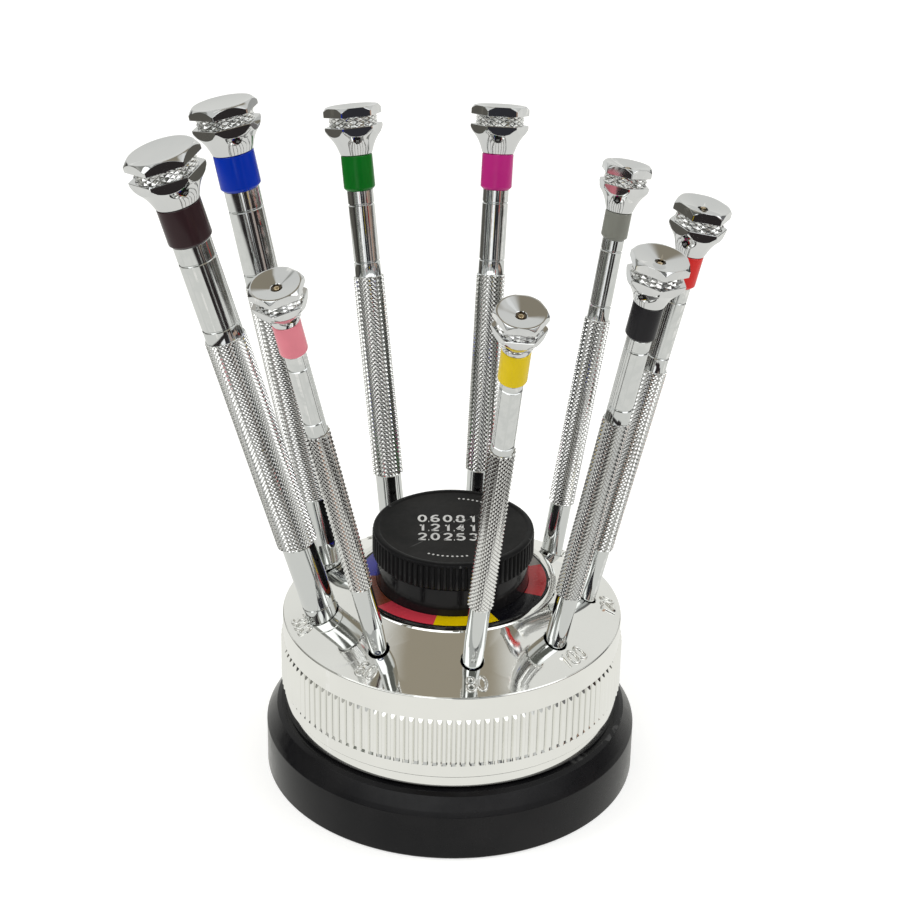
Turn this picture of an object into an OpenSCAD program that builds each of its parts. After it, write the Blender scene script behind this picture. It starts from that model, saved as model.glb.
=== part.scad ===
// Precision screwdriver set: nine slotted screwdrivers with swivelling heads,
// leaning outwards in a rotating stand with a screw-cap canister in the middle.
// Millimetres, +Z up, front towards -Y, origin on the table at the middle of the foot ring.

/* [Stand] */
// outside diameter of the black foot ring
foot_d = 60; // [59:0.5:66]
// height of the straight wall of the foot ring
foot_wall_h = 7.7; // [6:0.1:8.2]
// outside diameter of the chromed skirt of the turntable, over its fluted band
skirt_d = 55; // [54.6:0.1:55.4]
// radius of the circle the nine holes are set out on
hole_circle_r = 21.3; // [21:0.1:21.8]
// diameter of the printed colour disc
disc_d = 30.6; // [29.6:0.1:30.7]

/* [Canister] */
// outside diameter of the ribbed screw cap
cap_d = 25.6; // [24.8:0.1:27]
// height of the top of the screw cap above the table
cap_top_z = 42.5; // [42.3:0.1:44]
// travel of the cap for one turn of its thread (no thread is modelled)
thread_pitch = 2; // [1:0.25:3]

/* [Screwdrivers] */
// height of the coloured ring under a small head
ring_h = 5.05; // [4:0.05:5.4]
// how far the blades stick out of the noses
blade_out = 12; // [10:0.5:12]
// running gap between a swivelling head and its stem
swivel_gap = 0.05; // [0.02:0.01:0.08]

/* [Hidden] */
$fn = 72;
small_fn = 36; // for screws and blades

// colours
chrome = "#d9dad8";
steel = "#b9bbbd";
black_plastic = "#17181b";
cap_black = "#1b1c1f";
pad_grey = "#2b2c2e";
rack_grey = "#2a2b2e";
washer_white = "#e6e4dc";
liner_cream = "#d8d2c4";
disc_yellow = "#e5c500";
screw_brown = "#5a4a34";

// Screwdriver tables, one column each:
//        pink yellow black red grey magenta green blue brown
DRIVERS = [0:8];
STATION_STEP = 40;
RING_COLOUR = ["#cf7a80", "#d6b600", "#1e1d20", "#cf2a27", "#7f8078", "#a8246e", "#0d6b1f",
  "#0021a5", "#2f1f22"];
// width of the slotted blade
BLADE_W = [0.6, 0.8, 1.0, 1.2, 1.4, 1.6, 2.0, 2.5, 3.0];
// lean in degrees: outwards, and sideways (anticlockwise seen from above)
LEAN_OUT = [19.2, 18.8, 12.1, 12.37, 10.9, 13.9, 13.7, 12.4, 15.95];
LEAN_SIDE = [-0.8, 1.26, 1.6, -0.3, -0.3, 0.5, -0.54, 0.5, -2.6];
// shift in the hole: outwards, and sideways
SHIFT_OUT = [0, -0.1, 0.25, 0.05, 0, -0.2, -0.25, 0.25, 0.4];
SHIFT_SIDE = [-0.2, -0.1, -0.2, -0.1, 0.4, 0.22, -0.42, 0, 0.15];
// how much higher than the common depth it stands
RAISED = [3.2, 2.0, -1.3, -1.5, -1.9, 0.85, 1.45, 0.1, 0.95];
// diameters
NOSE_D = [3.3, 3.25, 3.4, 3.3, 3.45, 4.0, 4.2, 4.7, 5.3];
GRIP_D = [3.8, 4.0, 4.25, 4.1, 4.2, 4.75, 5.0, 5.9, 6.4];
BARREL_D = [3.1, 3.25, 3.65, 3.4, 3.45, 4.2, 4.25, 5.5, 5.8];
RING_D = [4.0, 4.1, 4.5, 4.4, 4.2, 5.1, 5.1, 6.35, 6.65];
// length of the nose, and its end diameter as a share of NOSE_D
NOSE_H = [14.9, 14.7, 13.9, 14.3, 14.4, 13.2, 12.7, 16.15, 16.0];
NOSE_TAPER = [0.82, 0.95, 0.9, 0.85, 0.85, 0.8, 0.8, 0.8, 0.9];
// bottom of the coloured ring above the nose end, and height added to ring_h
RING_Z = [60.95, 60.45, 60.35, 60.45, 59.6, 60.1, 60.25, 68.35, 68.7];
RING_MORE = [0.45, 0.7, 0.5, 0.15, -0.6, 0.7, 0.6, 0.65, 1.05];
// distance of the upper fine groove below the ring
GROOVE_DROP = [2.5, 1.15, 2.0, 2.5, 1.9, 2.15, 2.3, 3.2, 2.9];
// radius of the head over the corners of its hexagon, and its height
HEAD_R = [4.0, 3.8, 4.5, 4.45, 4.1, 4.7, 4.7, 5.4, 5.75];
HEAD_H = [6.4, 6.5, 7.35, 7.9, 7.55, 7.7, 7.8, 7.75, 8.2];
// turn of a flat of the head away from the front, in degrees
FLAT_TURN = [19, -1.5, 35, 5, 36, 2.5, 11, 17, 9];

// Head profile. Flare: [share of the way from ring to corner radius, share of head height]
HEAD_FLARE = [[0, 0], [0.1, 0.08], [0.2, 0.16], [0.31, 0.23], [0.45, 0.3], [0.65, 0.38],
  [0.85, 0.45], [0.96, 0.5]];
// rim with its groove: [share of corner radius, share of head height]
HEAD_RIM = [[1, 0.54], [1, 0.6], [0.835, 0.6], [0.835, 0.805], [1, 0.805], [1, 0.9],
  [0.98, 0.95], [0.95, 0.98], [0.91, 1]];

// screwdriver sizes, heights from the end of the nose along its own axis
nose_depth = 3.5;     // common depth of the nose end below the plate
nose_cone = 0.42;     // share of the nose length that tapers
blade_socket_z = 9;   // top of the bore for the blade
blade_root = 8.5;     // blade length inside the nose
grub_r = 0.5;
grub_z = 0.95;
pivot_r = 0.45;       // shank of the pivot screw
head_gap = 0.05;      // between ring and head
bearing_at = 0.66;    // top of the stem bore, share of head height
screw_seat_at = 0.8;  // seat of the pivot screw, share of head height

function station(i) = -122 + STATION_STEP * i;
function big(i) = i > 6;
function depth(i) = nose_depth - RAISED[i];
function grip_top(i) = big(i) ? 52.65 : i == 1 ? 47.25 : 46.15;
function lower_groove(i) = big(i) ? 54.8 : 48.55;
function upper_groove(i) = RING_Z[i] - GROOVE_DROP[i];
function ring_top(i) = RING_Z[i] + ring_h + RING_MORE[i];
function head_z(i) = ring_top(i) + head_gap;
function stem_r(i) = big(i) ? 2.0 : 1.2;
function root_r(i) = max(0.6, 0.4 * BLADE_W[i]);
// radius of the nose at height z
function nose_r(i, z) =
  NOSE_D[i] / 2
    * (NOSE_TAPER[i] + (1 - NOSE_TAPER[i]) * min(1, z / (nose_cone * NOSE_H[i])));
// hole in the stand that clears the nose
function hole_r(i) = nose_r(i, depth(i) + 2) + 0.22;
// bevel on the edge of the grip where it meets a thinner part
function grip_bevel(grip_r, next_r) = min(0.25, (grip_r - next_r) * 0.6);
// turn about the screwdriver axis that points +x at the front
function front_turn(i) = -90 - station(i);

// stand sizes
fit_gap = 0.05;
foot_bore_r = 27.2;
ballast_r = foot_bore_r - fit_gap;
pad_h = 1.2;
foot_ceiling_z = 9.2;
deck_z = 11;               // top of the foot ring
washer_h = 0.6;
carrier_z = deck_z + washer_h;
spindle_r = 3;
spindle_flange_r = 5;
spindle_flange_z = 2.2;
clip_r = 4.8;
clip_z = 14.85;
clip_groove_r = 2.5;
carrier_r = 25.85;
shell_bore_r = carrier_r + 0.1;
skirt_r = skirt_d / 2;
skirt_z = 11.17;
band_r = skirt_r - 0.35;   // plain bands above and below the fluted one
plate_r = 26.85;           // lower edge of the conical plate
plate_z = 27.75;
flange_r = 16.77;          // upper edge of the conical plate
flange_z = 32.9;
hole_z = plate_z + (plate_r - hole_circle_r) * (flange_z - plate_z) / (plate_r - flange_r);

// canister sizes
well_r = 11.6;             // part sunk in the carrier
well_z = 16.9;
floor_z = 18.4;            // inside floor
lip_z = 32.1;              // underside of the lip that rests on the shell
disc_z = 32.55;            // top of the lip, under the colour disc
drum_r = 12.1;
shoulder_z = 37.7;
neck_r = 10.8;
neck_z = 41.2;
liner_h = 0.5;
cap_rim_z = 37.95;
screw_r = 0.75;
rack_r = 9.3;
rack_z = 19.5;
rack_circle_r = 6.6;
rack_hole_z = 20.5;

// frame of screwdriver i at the surface of the plate, z along its own axis
module at_station(i)
  rotate([0, 0, station(i)])
    translate([hole_circle_r + SHIFT_OUT[i], SHIFT_SIDE[i], hole_z])
      rotate([-LEAN_SIDE[i], LEAN_OUT[i], 0]) children();

// the same frame with z = 0 at the end of the nose
module seated(i) at_station(i) translate([0, 0, -depth(i)]) children();

// ---- stand, fixed part ----

module foot_ring()
  color(black_plastic)
    rotate_extrude()
      polygon([[foot_bore_r, 0], [foot_d / 2 - 0.3, 0], [foot_d / 2, 0.3],
        [foot_d / 2, foot_wall_h], [foot_d / 2 - 0.4, foot_wall_h + 0.7], [28.3, 10.6],
        [27.6, deck_z], [3.4, deck_z], [3.4, foot_ceiling_z], [foot_bore_r, foot_ceiling_z]]);

module ballast_plate()
  color(steel)
    difference() {
      translate([0, 0, pad_h]) cylinder(r = ballast_r, h = foot_ceiling_z - fit_gap - pad_h);
      translate([0, 0, 1]) cylinder(r = spindle_r, h = 9);
      translate([0, 0, 1]) cylinder(r = spindle_flange_r, h = spindle_flange_z - 1);
    }

module base_pad() color(pad_grey) cylinder(r = ballast_r, h = pad_h);

module spindle()
  color(steel)
    rotate_extrude()
      polygon([[0, pad_h], [spindle_flange_r, pad_h], [spindle_flange_r, spindle_flange_z],
        [spindle_r, spindle_flange_z], [spindle_r, clip_z], [clip_groove_r, clip_z],
        [clip_groove_r, 15.65], [spindle_r, 15.65], [spindle_r, 16.1], [2.7, 16.4], [0, 16.4]]);

module thrust_washer()
  color(washer_white)
    difference() {
      translate([0, 0, deck_z]) cylinder(r = 12, h = washer_h);
      translate([0, 0, deck_z - 1]) cylinder(r = 3.3, h = 3);
    }

module retaining_clip()
  color(steel)
    difference() {
      translate([0, 0, clip_z]) cylinder(r = clip_r, h = 0.75);
      translate([0, 0, 14]) cylinder(r = clip_groove_r, h = 3);
      translate([0, -1.6, 14]) cube([8, 3.2, 3]);
    }

// ---- stand, turning part ----

// cutter for the hole of screwdriver i, from below the plate to above it
module hole_cutter(i, radius, below)
  at_station(i) translate([0, 0, -below]) cylinder(r = radius, h = below + 6);

module screw_spots() for (k = [0:2]) rotate([0, 0, 120 * k]) translate([8, 0, 0]) children();

module carrier_block()
  color(black_plastic)
    difference() {
      rotate_extrude()
        polygon([[3.05, carrier_z], [carrier_r, carrier_z], [carrier_r, 26.85], [18, 30.85],
          [well_r + fit_gap, 30.85], [well_r + fit_gap, well_z], [5.6, well_z],
          [5.6, 14.7], [3.05, 14.7]]);
      for (i = DRIVERS) hole_cutter(i, hole_r(i), depth(i) + blade_out + fit_gap);
      screw_spots() translate([0, 0, 12.6]) cylinder(r = screw_r, h = 6, $fn = small_fn);
    }

module turntable_shell()
  color(chrome)
    difference() {
      rotate_extrude()
        polygon([[shell_bore_r, skirt_z], [26.6, skirt_z], [band_r - 0.15, 11.5],
          [band_r - 0.15, 13.3], [band_r, 13.44], [band_r, 15.4], [skirt_r, 15.8],
          [skirt_r, 23.1], [band_r, 23.7], [band_r, 27.3], [plate_r, plate_z],
          [flange_r, flange_z], [16.6, 33.2], [15.65, 33.25], [15.4, 33.05], [15.4, lip_z],
          [12.2, lip_z], [12.2, 30.9], [18.04, 30.9], [shell_bore_r, 26.86]]);
      for (i = DRIVERS) hole_cutter(i, hole_r(i) + fit_gap, 6);
    }

module colour_disc()
  color(disc_yellow)
    difference() {
      translate([0, 0, disc_z]) cylinder(r = disc_d / 2, h = 0.55);
      translate([0, 0, 32]) cylinder(r = drum_r + fit_gap, h = 2);
    }

module canister()
  color(black_plastic)
    difference() {
      rotate_extrude()
        polygon([[0, well_z], [well_r, well_z], [well_r, lip_z], [15.2, lip_z], [15.2, disc_z],
          [drum_r, disc_z], [drum_r, shoulder_z - 0.2], [drum_r - 0.2, shoulder_z],
          [neck_r, shoulder_z], [neck_r, neck_z], [9.4, neck_z], [9.4, floor_z], [0, floor_z]]);
      screw_spots() translate([0, 0, 16]) cylinder(r = screw_r + 0.1, h = 4, $fn = small_fn);
    }

module canister_screws()
  color(steel)
    screw_spots()
      difference() {
        rotate_extrude($fn = small_fn)
          polygon([[0, 12.8], [screw_r, 12.8], [screw_r, floor_z], [1.3, floor_z], [1.3, 19.1],
            [1.0, 19.4], [0, 19.4]]);
        translate([-2, -0.2, 19]) cube([4, 0.4, 1]);
      }

// frame at the bottom of hole i of the rack
module at_rack(i)
  rotate([0, 0, 20 + STATION_STEP * i]) translate([rack_circle_r, 0, rack_hole_z]) children();

module blade_rack()
  color(rack_grey)
    difference() {
      translate([0, 0, rack_z]) cylinder(r = rack_r, h = 5.5);
      for (i = DRIVERS)
        at_rack(i) cylinder(r = max(root_r(i), BLADE_W[i] / 2) + 0.1, h = 6, $fn = small_fn);
      translate([0, 0, 19]) cylinder(r = 2.5, h = 7);
    }

module spare_blades()
  color(steel)
    for (i = DRIVERS) at_rack(i) translate([0, 0, blade_out]) blade_body(i, 5.5);

module cap_liner() color(liner_cream) translate([0, 0, neck_z]) cylinder(r = 10.4, h = liner_h);

module screw_cap() {
  cap_r = cap_d / 2;
  bore_r = neck_r + fit_gap;
  color(cap_black)
    rotate_extrude()
      polygon([[0, neck_z + liner_h], [bore_r, neck_z + liner_h], [bore_r, cap_rim_z],
        [cap_r - 0.15, cap_rim_z], [cap_r, cap_rim_z + 0.15], [cap_r, cap_top_z - 0.45],
        [cap_r - 0.45, cap_top_z], [cap_r - 0.9, cap_top_z], [cap_r - 1.2, cap_top_z - 0.15],
        [0, cap_top_z - 0.15]]);
}

// ---- screwdrivers ----

// slotted blade, z = 0 where it leaves the nose, its edge pointing down
module blade_body(i, root) {
  width = BLADE_W[i];
  shank_r = min(max(width / 2, 0.4), root_r(i));
  edge = 0.09 * width; // half the thickness of the edge
  cylinder(r = root_r(i), h = root, $fn = small_fn);
  translate([0, 0, -blade_out]) {
    translate([0, 0, 4]) cylinder(r = shank_r, h = blade_out - 4, $fn = small_fn);
    // round tip cut to a wedge
    intersection() {
      rotate_extrude($fn = small_fn)
        polygon([[0, 0], [width / 2, 0], [max(width, 0.8) / 2, 2.2], [shank_r, 4], [0, 4]]);
      rotate([90, 0, 0])
        linear_extrude(height = 8, center = true)
          polygon([[-edge, -1], [edge, -1], [edge, 0.3], [shank_r, 3.8],
            [shank_r, 5], [-shank_r, 5], [-shank_r, 3.8], [-edge, 0.3]]);
    }
  }
}

// cutter for a groove round a barrel of the given radius
module fine_groove(z, radius)
  translate([0, 0, z])
    rotate_extrude()
      polygon([[radius + 0.5, -0.2], [radius + 0.5, 0.2], [radius, 0.2],
        [radius - 0.14, 0.05], [radius - 0.14, -0.05], [radius, -0.2]]);

module driver_handle(i) {
  full_r = NOSE_D[i] / 2;
  end_r = nose_r(i, 0);
  grip_r = GRIP_D[i] / 2;
  barrel_r = BARREL_D[i] / 2;
  nose_h = NOSE_H[i];
  low_bevel = grip_bevel(grip_r, full_r);
  top_bevel = grip_bevel(grip_r, barrel_r);
  stem_top = head_z(i) + bearing_at * HEAD_H[i] - 0.05;
  screw_hole_z = ring_top(i) + 1.5;
  color(chrome)
    seated(i)
      difference() {
        rotate_extrude()
          polygon([[root_r(i), 0], [end_r - 0.15, 0], [end_r, 0.2], [full_r, nose_h * nose_cone],
            [full_r, nose_h], [grip_r - low_bevel, nose_h], [grip_r, nose_h + low_bevel],
            [grip_r, grip_top(i) - top_bevel], [grip_r - top_bevel, grip_top(i)],
            [barrel_r, grip_top(i)], [barrel_r, RING_Z[i]], [stem_r(i), RING_Z[i]],
            [stem_r(i), stem_top], [pivot_r, stem_top], [pivot_r, screw_hole_z],
            [0, screw_hole_z], [0, blade_socket_z], [root_r(i), blade_socket_z]]);
        fine_groove(lower_groove(i), barrel_r);
        fine_groove(upper_groove(i), barrel_r);
        rotate([0, 0, front_turn(i)])
          translate([0, 0, grub_z])
            rotate([0, 90, 0]) cylinder(r = grub_r, h = 4, $fn = small_fn);
      }
}

module driver_ring(i) {
  radius = RING_D[i] / 2;
  color(RING_COLOUR[i])
    seated(i)
      rotate_extrude()
        polygon([[stem_r(i), RING_Z[i]], [radius - 0.4, RING_Z[i]], [radius, RING_Z[i] + 0.35],
          [radius, ring_top(i)], [stem_r(i), ring_top(i)]]);
}

// hexagonal head; a big one is closed on top, a small one is dished and open
module driver_head(i) {
  corner_r = HEAD_R[i];
  foot_r = RING_D[i] / 2 - 0.02;
  height = HEAD_H[i];
  bore_r = stem_r(i) + swivel_gap;
  seat_z = screw_seat_at * height;
  bearing_z = bearing_at * height;
  color(chrome)
    seated(i) translate([0, 0, head_z(i)])
      intersection() {
        rotate_extrude()
          polygon(concat(
            [[bore_r, 0]],
            [for (p = HEAD_FLARE) [foot_r + p.x * (corner_r - foot_r), p.y * height]],
            [for (p = HEAD_RIM) [p.x * corner_r, p.y * height]],
            big(i) ? [[0, height], [0, seat_z + 0.85], [0.8, seat_z + 0.85]]
              : [[0.8, height - 0.7]],
            [[0.8, seat_z], [0.5, seat_z], [0.5, bearing_z], [bore_r, bearing_z]]));
        rotate([0, 0, front_turn(i) + FLAT_TURN[i] - 30])
          translate([0, 0, -1]) cylinder(r = corner_r + 0.06, h = height + 2, $fn = 6);
      }
}

module driver_blade(i) color(steel) seated(i) blade_body(i, blade_root);

// pivot screw in the head and grub screw that holds the blade
module driver_screws(i) {
  shank_z = ring_top(i) + 1.7;
  seat_z = head_z(i) + screw_seat_at * HEAD_H[i];
  color(screw_brown)
    seated(i) {
      rotate_extrude($fn = small_fn)
        polygon([[0, shank_z], [pivot_r, shank_z], [pivot_r, seat_z + 0.05],
          [0.74, seat_z + 0.05], [0.74, seat_z + 0.45], [0.4, seat_z + 0.7],
          [0, seat_z + 0.75]]);
      rotate([0, 0, front_turn(i)])
        translate([root_r(i) + 0.02, 0, grub_z]) rotate([0, 90, 0])
          cylinder(r = grub_r, h = max(0.3, nose_r(i, 0) - root_r(i)), $fn = small_fn);
    }
}

// numbers are columns of the screwdriver tables
module pink_handle() driver_handle(0);
module pink_ring() driver_ring(0);
module pink_head() driver_head(0);
module pink_blade() driver_blade(0);
module pink_screws() driver_screws(0);
module yellow_handle() driver_handle(1);
module yellow_ring() driver_ring(1);
module yellow_head() driver_head(1);
module yellow_blade() driver_blade(1);
module yellow_screws() driver_screws(1);
module black_handle() driver_handle(2);
module black_ring() driver_ring(2);
module black_head() driver_head(2);
module black_blade() driver_blade(2);
module black_screws() driver_screws(2);
module red_handle() driver_handle(3);
module red_ring() driver_ring(3);
module red_head() driver_head(3);
module red_blade() driver_blade(3);
module red_screws() driver_screws(3);
module grey_handle() driver_handle(4);
module grey_ring() driver_ring(4);
module grey_head() driver_head(4);
module grey_blade() driver_blade(4);
module grey_screws() driver_screws(4);
module magenta_handle() driver_handle(5);
module magenta_ring() driver_ring(5);
module magenta_head() driver_head(5);
module magenta_blade() driver_blade(5);
module magenta_screws() driver_screws(5);
module green_handle() driver_handle(6);
module green_ring() driver_ring(6);
module green_head() driver_head(6);
module green_blade() driver_blade(6);
module green_screws() driver_screws(6);
module blue_handle() driver_handle(7);
module blue_ring() driver_ring(7);
module blue_head() driver_head(7);
module blue_blade() driver_blade(7);
module blue_screws() driver_screws(7);
module brown_handle() driver_handle(8);
module brown_ring() driver_ring(8);
module brown_head() driver_head(8);
module brown_blade() driver_blade(8);
module brown_screws() driver_screws(8);

foot_ring();
ballast_plate();
base_pad();
spindle();
thrust_washer();
retaining_clip();
carrier_block();
turntable_shell();
colour_disc();
canister();
canister_screws();
blade_rack();
spare_blades();
cap_liner();
screw_cap();
pink_handle();
pink_ring();
pink_head();
pink_blade();
pink_screws();
yellow_handle();
yellow_ring();
yellow_head();
yellow_blade();
yellow_screws();
black_handle();
black_ring();
black_head();
black_blade();
black_screws();
red_handle();
red_ring();
red_head();
red_blade();
red_screws();
grey_handle();
grey_ring();
grey_head();
grey_blade();
grey_screws();
magenta_handle();
magenta_ring();
magenta_head();
magenta_blade();
magenta_screws();
green_handle();
green_ring();
green_head();
green_blade();
green_screws();
blue_handle();
blue_ring();
blue_head();
blue_blade();
blue_screws();
brown_handle();
brown_ring();
brown_head();
brown_blade();
brown_screws();
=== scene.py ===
"""Nine colour-coded precision screwdrivers standing in a round turntable stand.

The stand's axis is z and the floor is z = 0. A black foot ring carries a chromed shell with a
conical top plate. The drivers stand in holes round the plate and a canister with a ribbed cap
rises from its middle. The camera looks from -y. Sizes are in millimetres and degrees; angles
run anticlockwise from +x.
"""
from math import acos, atan2, cos, hypot, pi, radians, sin, tan

import bpy
import numpy as np
from mathutils import Matrix, Vector


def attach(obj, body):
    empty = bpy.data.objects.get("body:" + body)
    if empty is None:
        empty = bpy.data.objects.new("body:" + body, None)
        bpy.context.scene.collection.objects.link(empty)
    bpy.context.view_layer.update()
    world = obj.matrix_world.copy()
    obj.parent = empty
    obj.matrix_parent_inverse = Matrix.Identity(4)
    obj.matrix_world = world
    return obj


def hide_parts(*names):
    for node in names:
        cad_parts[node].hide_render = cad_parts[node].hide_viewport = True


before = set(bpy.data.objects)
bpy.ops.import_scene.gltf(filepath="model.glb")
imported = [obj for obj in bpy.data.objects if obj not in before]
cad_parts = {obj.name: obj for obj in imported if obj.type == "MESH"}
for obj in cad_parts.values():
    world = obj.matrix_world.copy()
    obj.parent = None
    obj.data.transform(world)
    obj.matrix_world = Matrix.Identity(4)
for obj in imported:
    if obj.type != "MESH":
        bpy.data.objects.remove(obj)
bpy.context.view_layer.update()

MM = 0.001

# ----------------------------------------------------------- driving sizes
PITCH = 40                      # degrees between stations
FIRST_STATION = -122
FIRST_EDGE = FIRST_STATION - PITCH / 2

HOLE_R = 21.3                   # circle the driver holes lie on
PLATE_R, PLATE_Z = 26.85, 27.75         # outer edge of the conical plate
FLANGE_R, FLANGE_Z = 16.77, 32.9        # inner edge of the conical plate
WALL_R, UNDER_Z = 25.95, 26.86          # shell's inner wall and where the plate's underside meets it
BAND_R = 27.15                  # middle radius of the ribbed band round the shell
DISC_SEAT_Z = 32.1              # floor of the recess in the shell's top
DRUM_R = 12.1
NECK_R, NECK_Z = 10.75, 41.2
RIM_Z = 37.95                   # lower rim of the cap
CAP_R, CAP_Z = 12.8, 42.5
CAP_FACE_Z = CAP_Z - 0.15       # sunk face inside the cap's raised edge

SLOPE = (FLANGE_Z - PLATE_Z) / (PLATE_R - FLANGE_R)
CONE_UP = 1 / hypot(1, SLOPE)   # the cone's unit normal, upwards and outwards
CONE_OUT = SLOPE * CONE_UP
TOP_CONE = (PLATE_R, PLATE_Z)   # a cone of this slope is given by one radius and its height
UNDER_CONE = (WALL_R, UNDER_Z)


def cone_z(radius, cone=TOP_CONE):
    return cone[1] + (cone[0] - radius) * SLOPE


# One column per driver. Names ending in _d are diameters and in _r radii. Heights are measured
# along the driver from the end of its nose.
MEASURES = {
    "name": ["pink", "yellow", "black", "red", "grey", "magenta", "green", "blue", "brown"],
    "blade": [0.6, 0.8, 1.0, 1.2, 1.4, 1.6, 2.0, 2.5, 3.0],
    # lean outwards and sideways, depth of seating, shift outwards and sideways from the hole
    "lean": [19.2, 18.8, 12.1, 12.37, 10.9, 13.9, 13.7, 12.4, 15.95],
    "side_lean": [-0.8, 1.26, 1.6, -0.3, -0.3, 0.5, -0.54, 0.5, -2.6],
    "seat": [3.2, 2.0, -1.3, -1.5, -1.9, 0.85, 1.45, 0.1, 0.95],
    "play_out": [0, -0.1, 0.25, 0.05, 0, -0.2, -0.25, 0.25, 0.4],
    "play_side": [-0.2, -0.1, -0.2, -0.1, 0.4, 0.22, -0.42, 0, 0.15],
    # nose: taper is the end's share of the full diameter
    "nose_d": [3.3, 3.25, 3.4, 3.3, 3.45, 4.0, 4.2, 4.7, 5.3],
    "nose_h": [14.9, 14.7, 13.9, 14.3, 14.4, 13.2, 12.7, 16.15, 16.0],
    "taper": [0.82, 0.95, 0.9, 0.85, 0.85, 0.8, 0.8, 0.8, 0.9],
    # knurled grip, plain barrel above it, and the upper groove's distance below the ring
    "grip_d": [3.8, 4.0, 4.25, 4.1, 4.2, 4.75, 5.0, 5.9, 6.4],
    "grip_top": [46.15, 47.25, 46.15, 46.15, 46.15, 46.15, 46.15, 52.65, 52.65],
    "barrel_d": [3.1, 3.25, 3.65, 3.4, 3.45, 4.2, 4.25, 5.5, 5.8],
    "groove_drop": [2.5, 1.15, 2.0, 2.5, 1.9, 2.15, 2.3, 3.2, 2.9],
    # colour ring
    "ring_d": [4.0, 4.1, 4.5, 4.4, 4.2, 5.1, 5.1, 6.35, 6.65],
    "ring_low": [60.95, 60.45, 60.35, 60.45, 59.6, 60.1, 60.25, 68.35, 68.7],
    "ring_extra": [0.45, 0.7, 0.5, 0.15, -0.6, 0.7, 0.6, 0.65, 1.05],
    # six-sided swivel head: radius over the corners, height, turn of its flats
    "head_r": [4.0, 3.8, 4.5, 4.45, 4.1, 4.7, 4.7, 5.4, 5.75],
    "head_h": [6.4, 6.5, 7.35, 7.9, 7.55, 7.7, 7.8, 7.75, 8.2],
    "head_turn": [19, -1.5, 35, 5, 36, 2.5, 11, 17, 9],
    # sRGB colours of the ring and of the sector on the disc
    "ring_colour": ["da7f8b", "d6ba00", "1e1d20", "d02a27", "7f8078", "b8287c", "0a681c",
                    "002ea6", "2f1f22"],
    "disc_colour": ["d43f4f", "e5c500", "0c0c12", "c23338", "8a8580", "b02a78", "1c7a30",
                    "2a2aa0", "7a3a22"],
}
RING_H = 5.05
TAPER_SHARE = 0.42              # tapered part of the nose's height
STEM_SHARE = 0.66               # the stem's end, as a share of the head's height
SCREW_SHARE = 0.8               # the seat of the head's screw, likewise


class Driver:
    """One screwdriver: its measures and the sizes that follow from them."""

    def __init__(self, index):
        for key, column in MEASURES.items():
            setattr(self, key, column[index])
        self.large = index > 6
        self.station = FIRST_STATION + PITCH * index
        self.knurl_pitch = (0.68, 0.84) if index < 2 else (0.60, 0.72)  # across, along
        self.tip_below = 3.5 - self.seat        # nose end below the plate, along the driver
        self.nose_r = self.nose_d / 2
        self.end_r = self.nose_r * self.taper
        self.grip_r = self.grip_d / 2
        self.barrel_r = self.barrel_d / 2
        self.ring_r = self.ring_d / 2
        self.stem_r = 2.0 if self.large else 1.2
        self.root_r = max(0.6, 0.4 * self.blade)
        self.grooves = (54.8 if self.large else 48.55, self.ring_low - self.groove_drop)
        self.ring_top = self.ring_low + RING_H + self.ring_extra
        self.bore_r = self.nose_radius(self.tip_below + 2) + 0.19

    def nose_radius(self, z):
        share = min(1, z / (TAPER_SHARE * self.nose_h))
        return self.nose_r * (self.taper + (1 - self.taper) * share)

    def matrix(self):
        """Stands the driver in its hole, with its own +x turned to -y."""
        hole = Vector((HOLE_R + self.play_out, self.play_side, cone_z(HOLE_R)))
        return (Matrix.Rotation(radians(self.station), 4, "Z")
                @ Matrix.Translation(hole * MM)
                @ Matrix.Rotation(radians(self.lean), 4, "Y")
                @ Matrix.Rotation(radians(-self.side_lean), 4, "X")
                @ Matrix.Translation((0, 0, -self.tip_below * MM))
                @ Matrix.Rotation(radians(-90 - self.station), 4, "Z"))


DRIVERS = [Driver(index) for index in range(9)]


# -------------------------------------------------------------- mesh tools
def circle(count):
    return np.arange(count) * 2 * pi / count


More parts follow.
